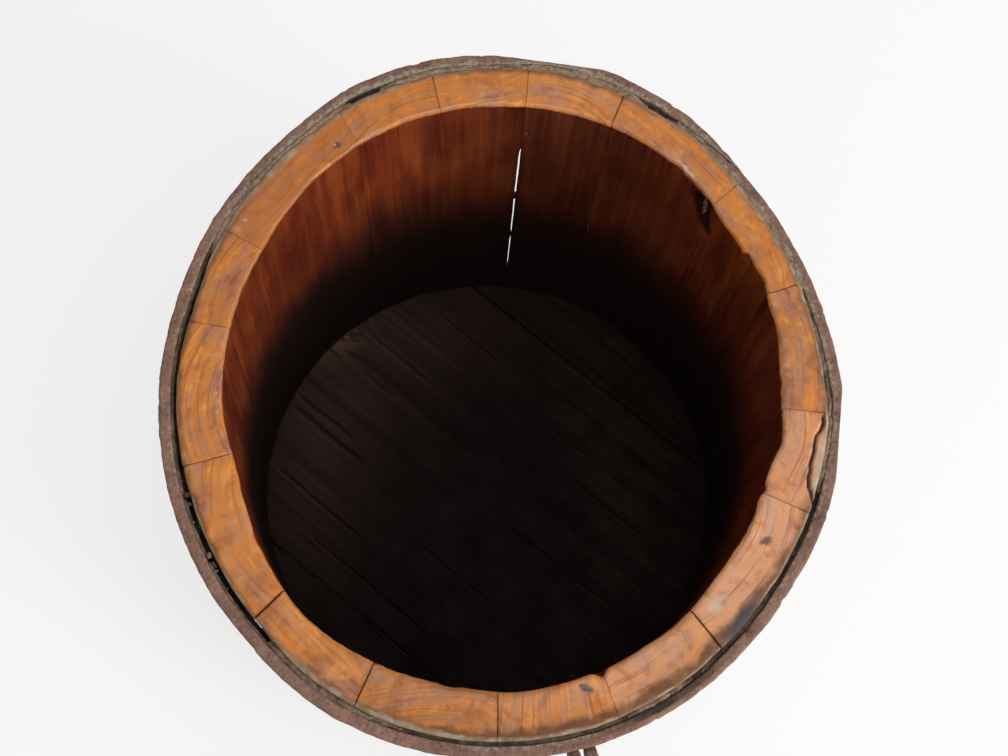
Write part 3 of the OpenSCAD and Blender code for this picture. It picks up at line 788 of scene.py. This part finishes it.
def make_stave(number, name):
    g = stave_grid(number, name)
    moved = worn_corners(g)
    radius, hollow = worn_wall(g, moved)
    near_top = smooth(g.dz, 12, 0)
    # stave heights differ a little, and their ends are uneven
    step = g.rng.uniform(0.0, 0.9)
    flat = polar(radius, g.az, 0 * g.z)
    rough_top = 0.5 * (noise(flat, 20, 5) - 1) + 0.18 * (noise(flat, 6, 6) - 1) + 0.06 * noise(flat, 1.6, 9, 2)
    z = g.z - moved["top"] + moved["low"] + near_top * (rough_top - step - 0.15)
    z += smooth(g.db, 10, 0) * 0.6 * (noise(flat, 4, 11) * 0.5 + 0.5)
    stain, pale_and_highlight = np.zeros_like(z), np.zeros_like(z)
    if name == SPLIT_STAVE:
        split_off_edge(g, near_top, z, stain, pale_and_highlight)
    points = polar(radius, g.az + joint_turn(g, moved, radius), z)
    mark_rim(g, points, near_top, stain, pale_and_highlight)
    mark_wall(g, radius, hollow, stain, pale_and_highlight)
    make(name, points, g.faces, WOOD, name, stave_fields(g, points, near_top, stain, pale_and_highlight))


for number, name in enumerate(STAVES, 1):
    make_stave(number, name)


# ---------------------------------------------------------------- floor

GRAIN = -32.0      # azimuth the boards run along
FLOOR_R = 125.0    # where the boards' bevelled edges start
# splits in the floor, in the boards' own axes: place across the grain, start and end along it, width, depth
SPLITS = [
    (-33, -117, -64, 1.1, 2.6), (-26, -121, -77, 0.9, 2.2), (28.4, -117, -66, 0.8, 2.0), (8, -104, -77, 0.7, 1.6),
    (-66, -101, -36, 0.8, 2.0), (-48, -20, 44, 0.5, 1.0), (52, -30, 36, 0.5, 1.0), (-8, 20, 92, 0.5, 1.0),
    (64, -92, -40, 0.6, 1.3), (-84, -60, 30, 0.6, 1.2), (36, 30, 90, 0.5, 0.9)]


def board_rows(y0, y1):
    """Grid lines across a board, finer by its edges and the splits."""
    rows = [y0]
    while rows[-1] < y1:
        y = rows[-1]
        gap = min([abs(y - s[0]) for s in SPLITS] + [y - y0, y1 - y])
        rows.append(y + min(1.5, 0.28 + 0.25 * max(0, gap)))
    rows = np.array(rows)
    return y0 + (rows - y0) * (y1 - y0) / (rows[-1] - y0)


def make_board(number, name):
    co = np.array([v.co[:3] for v in NODES[name].data.vertices]) / MM
    g = math.radians(GRAIN)
    across = co[:, 1] * math.cos(g) - co[:, 0] * math.sin(g)
    y0, y1 = across.min() + 0.4, across.max() - 0.4
    outer_r = np.hypot(co[:, 0], co[:, 1]).max()
    rows = board_rows(y0, y1)
    cols = np.linspace(-1, 1, 96)
    layers = np.array([0, 0.6, 1.6, 4, 8, 12, 14.4, 15.4, 16]) / 16
    steps, faces = box_shell([len(cols) - 1, len(rows) - 1, len(layers) - 1])
    y = rows[steps[:, 1]]
    half = np.sqrt(np.maximum(outer_r ** 2 - np.minimum(abs(y), outer_r - 0.3) ** 2, 4.0))
    x = cols[steps[:, 0]] * half
    layer = layers[steps[:, 2]]
    far = np.hypot(x, y)
    bevel = 4.0 * np.clip((far - FLOOR_R + 0.2) / (outer_r - FLOOR_R + 0.2), 0, 1)
    z = FLOOR_BOTTOM + bevel + layer * (FLOOR_TOP - FLOOR_BOTTOM - 2 * bevel)
    upper, under = layer == 1, layer == 0
    here = np.stack([x, y, 0 * x], 1)
    z -= upper * (0.35 * (noise(here, (90, 9, 1), 3 + number) + 1) + 0.18 * (noise(here, (50, 1.6, 1), 13) + 1))
    z += under * 0.3 * (noise(here, (90, 9, 1), 33 + number) + 1)
    edge = np.minimum(y - y0, y1 - y)
    z -= upper * 0.9 * smooth(edge, 1.6, 0) * (abs(y) < outer_r - 6)
    worn = np.zeros_like(x)
    for at, start, end, width, depth in SPLITS:
        run = smooth(x, start - 3, start + 6) * smooth(x, end + 3, end - 10)
        line = at + 0.7 * noise(here * [1, 0, 0], 22, int(abs(at)) + 50)
        groove = bell(y, line, width * (0.35 + 0.65 * run)) * run
        z -= upper * depth * groove
        worn += upper * 0.42 * bell(y, line - 1.5 * width, 0.6 * width) * run
    chip = bell(x, -122, 9) * bell(y, 17, 16)
    chip += 0.7 * bell(far, FLOOR_R - 1.0, 1.2) * bell(turn(np.degrees(np.arctan2(y, x)), 176), 0, 16)
    worn += upper * 0.7 * chip * (noise(here, (7, 2.2, 1), 61) > -0.1)
    points = np.stack([x * math.cos(g) - y * math.sin(g), x * math.sin(g) + y * math.cos(g), z], 1)
    grain = np.stack([x, y, z], 1) + 41 * number
    # painted light makes the floor paler at the left, and painted shade makes it darkest in the middle
    px, py = points[:, 0], points[:, 1]
    painted_light = smooth(np.hypot(px + 85, (py - 40) * 0.8), 115, 25) * 0.85
    dim = 0.68 * smooth(np.hypot(px * np.where(px > 0, 1.3, 0.95), (py + 25) * 0.75), 104, 50) + 0.12
    fields = dict(grain=grain, worn=np.clip(worn, 0, 1), painted_light=painted_light, dim=dim)
    make(name, points, faces, FLOOR_WOOD, name, fields)


for number, name in enumerate(("floor_front", "floor_middle", "floor_back"), 1):
    make_board(number, name)
dowels = NODES["floor_dowels"].data
dowels.materials.clear()
dowels.materials.append(dowel_material())


# ---------------------------------------------------------------- hoops

def spread_here(az, z):
    """How far the top hoop stands out from its CAD shape at height z."""
    return by_azimuth(HOOP_SPREAD, az) * smooth(HOOP_TOP - z, 26, 3)


def inside_box(radius, az):
    """Radius kept just inside the CAD model's box."""
    (x0, y0, _), (x1, y1, _) = CAD_BOX
    for toward, low, high in ((np.cos(np.radians(az)), x0, x1), (np.sin(np.radians(az)), y0, y1)):
        limit = np.where(toward > 0, high, -low) / MM - 0.15
        radius = np.minimum(radius, limit / np.maximum(abs(toward), 1e-3))
    return radius


def measure_strip(name, levels, along_step):
    """The hoop as a strip from its inner end round and over its start: azimuth of that end, places
    along the strip in degrees, and the radii of both faces at two levels."""
    tree = cad_tree([name])
    lapped = [a for a in np.arange(0.25, 360, 0.5) if len(crossings(tree, a, levels[0])) >= 4]
    outer_end, inner_end = lapped[0] - 0.2, lapped[-1] + 0.2
    run = 360 + inner_end - outer_end
    count = int(run / 360 * 2 * math.pi * 152 / along_step)
    along = np.linspace(0, run, count + 1)
    table = np.zeros((count + 1, 4))
    for k, s in enumerate(along):
        for j, level in enumerate(levels):
            hits = crossings(tree, inner_end - s, level)[2 if s > 360 else 0:][:2]
            table[k, 2 * j:2 * j + 2] = hits if len(hits) == 2 else table[k - 1, 2 * j:2 * j + 2]
    return inner_end, along, table


def make_hoop(name, along_step, fine_z, seed, rust, spread=False):
    low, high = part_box(name)[0].z / MM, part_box(name)[1].z / MM
    levels = (low + 1.7, high - 1.7)
    inner_end, along, table = measure_strip(name, levels, along_step)
    heights = spacing(high - low, fine_z, 1.5)
    thick = np.array([0, 0.05, 0.14, 0.28, 0.5, 0.72, 0.86, 0.95, 1.0])
    steps, faces = box_shell([len(thick) - 1, len(along) - 1, len(heights) - 1])
    # the strip runs clockwise, so its faces turn over
    faces = faces[:, ::-1]
    t, s, h = thick[steps[:, 0]], along[steps[:, 1]], heights[steps[:, 2]]
    z, az, run = low + h, inner_end - s, along[-1]
    rise = (z - levels[0]) / (levels[1] - levels[0])
    rows = table[steps[:, 1]]
    r_in = rows[:, 0] + (rows[:, 2] - rows[:, 0]) * rise
    r_out = rows[:, 1] + (rows[:, 3] - rows[:, 1]) * rise
    # the lap lies close on the strip's start, and its end is thin and rounded
    lapping = smooth(s, 361, 365) * 0.35
    r_in, r_out = r_in - lapping, r_out - 0.5 * lapping
    r_out = r_out - (r_out - r_in - 0.6) * smooth(s, run - 6, run - 0.3)
    z = z - 2.5 * smooth(s, run - 2.2, run) * smooth(h, 0, high - low)
    full = r_out - r_in
    d_in, d_out, over = t * full, (1 - t) * full, (high - low) - h
    corner = np.minimum(1.2, full / 2.2)
    radius = r_in + d_in
    for p, way in ((d_in, 1), (d_out, -1)):
        for q, up in ((over, -1), (h, 1)):
            dp, dq = push(p, q, corner)
            radius = radius + way * dp
            z = z + up * dq
    # rust pits the outside, and both edges wave
    here = polar(radius, az, low + h)
    lumps, pits = noise(here, 7.0, seed, 3), noise(here, 2.2, seed + 5, 2)
    deep = smooth(noise(here, 4.5, seed + 9, 2), 0.28, 0.75)
    outward = smooth(t, 0.5, 1.0)
    radius = radius + outward * np.minimum(0.2 * full, 0.9) * rust * (0.4 * lumps + 0.3 * pits - 0.75 * deep - 0.25)
    near_top, near_low = smooth(over, 2.5, 0), smooth(h, 2.0, 0)
    if spread:
        radius = radius + spread_here(az, low + h)
        z = z + near_top * 1.1
    waves = 0.3 * (noise(here, 30, seed + 2) - 1) + 0.4 * (noise(here, 4.0, seed + 3, 2) - 1)
    z = z + rust * (near_top * waves - near_low * waves)
    crust = 1.1 * by_azimuth(HOOP_CRUST, az) * smooth(t + 0.4 * noise(here, 7, seed + 6, 2), 0.6, 0.1) * near_top
    crust += 0.3 * smooth(noise(here, 25, seed + 4), 0.2, 0.7)
    soot_and_shade = 0.72 * near(az, 303, 17) * smooth(t, 0.85, 0.45) * near_top + (t < 0.01) * 0.5
    points = polar(inside_box(radius, az), az, z)
    make(name, points, faces, RUST, name, dict(crust=crust, soot_and_shade=soot_and_shade))


make_hoop("top_hoop", 1.3, 0.4, 200, 1.0, spread=True)
make_hoop("middle_hoop", 2.8, 0.4, 300, 0.55)
make_hoop("bottom_hoop", 2.5, 0.5, 400, 0.9)


# ---------------------------------------------------------------- small forged iron

EYE_INSIDE = 144    # radius in mm at which the eye's legs start to be painted black as shade


def forged(name, voxel, rough, material, seed):
    """The CAD solid of a rivet or the eye, remeshed finely, worn and pitted."""
    copy = bpy.data.objects.new(name + "_worn", NODES[name].data.copy())
    bpy.context.scene.collection.objects.link(copy)
    remesh = copy.modifiers.new("remesh", "REMESH")
    remesh.mode, remesh.voxel_size = "VOXEL", voxel * MM
    soften = copy.modifiers.new("soften", "SMOOTH")
    soften.factor, soften.iterations = 0.6, 6
    shown = copy.evaluated_get(bpy.context.evaluated_depsgraph_get()).to_mesh()
    points = np.array([v.co[:] for v in shown.vertices]) / MM
    faces = np.array([list(p.vertices) for p in shown.polygons if len(p.vertices) == 4])
    odd = [list(p.vertices) for p in shown.polygons if len(p.vertices) != 4]
    wear = 0.8 * noise(points, 3.0, seed, 2) + 0.5 * noise(points, 1.2, seed + 3) - 0.7
    points = points + normals(points, faces) * (rough * wear)[:, None]
    bpy.data.objects.remove(copy)
    far = np.hypot(points[:, 0], points[:, 1])
    if name.startswith("top_hoop"):
        az = np.degrees(np.arctan2(points[:, 1], points[:, 0]))
        points[:, :2] *= (1 + spread_here(az, points[:, 2]) / far)[:, None]
        far = np.hypot(points[:, 0], points[:, 1])
    crust = 0.3 + 0.3 * noise(points, 6, seed + 8)
    # painted shade on the eye's legs inside the rim
    soot_and_shade = smooth(far, EYE_INSIDE, EYE_INSIDE - 6) * 1.5
    make(name, points, faces.tolist() + odd, material, name, dict(crust=crust, soot_and_shade=soot_and_shade))


forged("top_hoop_rivets", 0.45, 0.3, RUST, 500)
forged("middle_hoop_rivet", 0.28, 0.15, RUST, 510)
forged("bottom_hoop_rivets", 0.4, 0.25, RUST, 520)
forged("folded_eye", 0.6, 0.3, EYE_RUST, 530)


# ---------------------------------------------------------------- dirt and painted shade between the top hoop and the wood

# stretches of the gap that dirt fills: start and end azimuth, height of its top over the hoop, cover over the edges,
# and how dark it is; the darkest lie sunk in the gap as painted shade
DIRT_RUNS = [
    (24, 67, 0.5, 1.6, 0.0), (66, 73, -2.5, 0.6, 0.8), (71, 119.5, 0.6, 1.3, 0.0), (118, 126.5, -2.2, 0.6, 0.8),
    (125, 163, 0.9, 1.8, 0.0), (162, 208.3, -9.0, 0.6, 1.0), (209.3, 219.4, -9.0, 0.6, 1.0),
    (220.8, 239, -9.0, 0.6, 1.0), (237, 262, 0.1, 1.5, 0.28), (260, 281, -1.5, 0.7, 0.6), (278, 299, -0.8, 1.0, 0.4),
    (297, 309, -0.2, 1.4, 0.0), (307, 331, -0.9, 0.8, 0.55), (329, 350, -1.8, 0.5, 0.8), (348, 367, -0.4, 1.2, 0.1),
    (4, 26, -0.5, 0.9, 0.25)]
SUNKEN = 0.3    # dirt darker than this lies sunk between hoop and wood, darkened as painted shade
DEEP = 1.0      # and this dark it lies deep as near-black painted shade, with a ledge of crust on the hoop's side
# loose crumbs in the open stretches: azimuth and size
CRUMBS = [
    (197.5, 1.1), (206.0, 1.2), (208.5, 1.6), (210.0, 1.9), (213.5, 1.0), (219.8, 2.2), (221.4, 1.8), (222.6, 1.5),
    (226.0, 1.0), (191.0, 0.9), (186.0, 0.8), (327.0, 1.8), (330.5, 1.2), (306.0, 1.4), (300.5, 1.4), (311.0, 1.5),
    (156.8, 1.8), (158.6, 1.5), (244.0, 1.2), (348.0, 1.0), (296.0, 1.2)]


def make_dirt():
    all_points, all_faces, all_dark, first = [], [], [], 0
    for k, (start, end, rise, cover, dark) in enumerate(DIRT_RUNS):
        length = math.radians(end - start) * 150
        steps, faces = box_shell([12, int(length / 0.9), 5])
        u, v, w = steps[:, 0] / 12, steps[:, 1] / steps[:, 1].max(), steps[:, 2] / 5
        az = start + (end - start) * v
        inner, outer = wood_face(az), hoop_face(az)
        ends = smooth(np.minimum(v, 1 - v) * length, 0, 9)
        across, ledge = 2 * u - 1, 0 * u
        if dark > SUNKEN:
            low_edge, high_edge = inner - 0.5, outer + 0.5
            top = HOOP_TOP + rise - 1.3 * (1 - across ** 2) - 2.0 * (1 - ends)
            if dark == DEEP:
                ledge = smooth(u, 0.5, 0.68)
                top = top + ledge * (HOOP_TOP - 1.2 - top)
        else:
            path = polar(inner, az, 0 * az)
            low_edge = inner - cover * (0.6 + 0.8 * noise(path, 4, 600 + k, 3)) * ends - 0.2
            high_edge = outer + cover * (0.5 + 0.8 * noise(path, 5, 640 + k, 3)) * ends + 0.2
            top = HOOP_TOP + rise * ends - 1.2 * across ** 2 - 2.0 * (1 - ends)
        points = polar(low_edge + (high_edge - low_edge) * u, az, top - 5 * (1 - w))
        bumps = 0.9 * noise(points, 2.6, 620 + k, 3) + 0.35 * noise(points, 1.1, 650 + k)
        points[:, 2] += (w > 0) * bumps
        points[:, :2] *= (1 + 0.002 * noise(points, 1.8, 630 + k, 2))[:, None]
        points[:, 2] = np.minimum(points[:, 2], RIM - 0.2)
        patches = 0.45 * noise(points, 4.5, 660 + k, 2) * (dark > 0.2)
        all_points.append(points)
        all_faces.append(faces + first)
        all_dark.append(np.clip(dark + patches - 0.55 * ledge, 0, 1))
        first += len(points)
    make("gap_dirt_and_shade", np.concatenate(all_points), np.concatenate(all_faces), DIRT, None,
         dict(dark=np.concatenate(all_dark)))


def make_crumbs():
    rng = np.random.default_rng(9)
    ball, quads = box_shell([6, 6, 6])
    unit = ball / 3.0 - 1
    unit = unit / np.linalg.norm(unit, axis=1, keepdims=True)
    points, faces = [], []
    for k, (az, size) in enumerate(CRUMBS):
        inner = float(wood_face(az))
        r = inner + (float(hoop_face(az)) - inner) * rng.uniform(0.35, 0.75)
        lump = unit * size * rng.uniform(0.3, 0.9, 3) * (1 + 0.35 * noise(unit + 9 * k, 0.7, 700 + k, 2))[:, None]
        a = math.radians(az)
        turned = lump @ np.array(Matrix.Rotation(rng.uniform(0, 6), 3, "Z")).T
        middle = [r * math.cos(a), r * math.sin(a), HOOP_TOP - rng.uniform(1.2, 4.5)]
        faces.append(quads + len(points) * len(unit))
        points.append(turned + middle)
    points = np.concatenate(points)
    make("gap_crumbs", points, np.concatenate(faces), DIRT, None, dict(dark=np.full(len(points), 0.45)))


make_dirt()
make_crumbs()


# ---------------------------------------------------------------- stage, light and camera

BRIGHT_SIDE = (0.8, -0.55, -0.25)   # the room is brightest that way
SKY_DIM, SKY_BRIGHT = 0.22, 0.92
STAGE_HALF = 5.0
FLOOR_GLOW = 0.7                     # how far the floor turns plain white where it is seen or mirrored
TILT, ROLL = 18.0, 7.8               # the camera's degrees off straight down, and its roll
LENS, SENSOR = 57.14, 36.0
CAMERA_PLACE = (0.0002, -0.2189, 0.9128)


def make_stage():
    m = Paint("floor_white")
    path = m.node("ShaderNodeLightPath")
    seen = m.math("MAXIMUM", path.outputs["Is Camera Ray"], path.outputs["Is Glossy Ray"])
    glow = m.node("ShaderNodeEmission", {"Color": (1.0, 1.0, 1.0), "Strength": 1.0})
    blend = m.node("ShaderNodeMixShader", {0: m.times(seen, FLOOR_GLOW), 1: m.shader.outputs[0], 2: glow.outputs[0]})
    m.put(m.output.inputs["Surface"], blend.outputs[0])
    m.put(m.shader.inputs["Base Color"], (0.86, 0.86, 0.86))
    m.put(m.shader.inputs["Roughness"], 0.8)
    mesh = bpy.data.meshes.new("ground")
    corners = [(x * STAGE_HALF, y * STAGE_HALF, 0) for x, y in ((-1, -1), (1, -1), (1, 1), (-1, 1))]
    mesh.from_pydata(corners, [], [(0, 1, 2, 3)])
    mesh.materials.append(m.material)
    ground = bpy.data.objects.new("ground", mesh)
    bpy.context.scene.collection.objects.link(ground)


def make_world():
    """A pale room, brighter to one side, that the camera sees as plain white."""
    world = bpy.data.worlds.new("studio")
    bpy.context.scene.world = world
    m = Tree(world)
    way = m.node("ShaderNodeTexCoord").outputs["Generated"]
    aside = m.node("ShaderNodeVectorMath", {0: way, 1: BRIGHT_SIDE}, operation="DOT_PRODUCT").outputs["Value"]
    sky = m.node("ShaderNodeMapRange", {"Value": aside, "From Min": -1.0, "From Max": 1.0,
                                        "To Min": SKY_DIM, "To Max": SKY_BRIGHT})
    seen = m.node("ShaderNodeLightPath").outputs["Is Camera Ray"]
    strength = m.node("ShaderNodeMix", {0: seen, 2: sky.outputs[0], 3: 1.0})
    background = m.node("ShaderNodeBackground", {"Color": (1, 1, 1, 1), "Strength": strength.outputs[0]})
    m.node("ShaderNodeOutputWorld", {"Surface": background.outputs[0]})


def make_lamp(name, place, aim, size, watts):
    lamp = bpy.data.lights.new(name, "AREA")
    lamp.shape, lamp.size, lamp.energy = "DISK", size, watts
    o = bpy.data.objects.new(name, lamp)
    o.location = place
    o.rotation_mode = "QUATERNION"
    o.rotation_quaternion = (Vector(aim) - Vector(place)).to_track_quat("-Z", "Y")
    bpy.context.scene.collection.objects.link(o)


def make_camera():
    """The photograph's view: steeply down into the mouth, a little from the front."""
    tilt, roll = math.radians(TILT), math.radians(ROLL)
    ahead = Vector((0, math.sin(tilt), -math.cos(tilt)))
    level = Vector((1, 0, 0))
    upright = level.cross(ahead)
    right = level * math.cos(roll) + upright * math.sin(roll)
    up = upright * math.cos(roll) - level * math.sin(roll)
    camera = bpy.data.cameras.new("camera")
    camera.sensor_width, camera.lens = SENSOR, LENS
    camera.clip_start, camera.clip_end = 0.01, 50
    o = bpy.data.objects.new("camera", camera)
    basis = Matrix((right, up, -ahead)).transposed()
    o.matrix_world = Matrix.Translation(Vector(CAMERA_PLACE)) @ basis.to_4x4()
    bpy.context.scene.collection.objects.link(o)
    bpy.context.scene.camera = o


make_stage()
make_world()
make_lamp("window", (1.55, -0.68, 1.0), (0, 0, 0.18), 0.8, 19)
make_lamp("ceiling", (0.35, -0.2, 2.5), (0, 0, 0.1), 1.6, 17)
make_camera()
bpy.context.scene.view_settings.view_transform = "Standard"
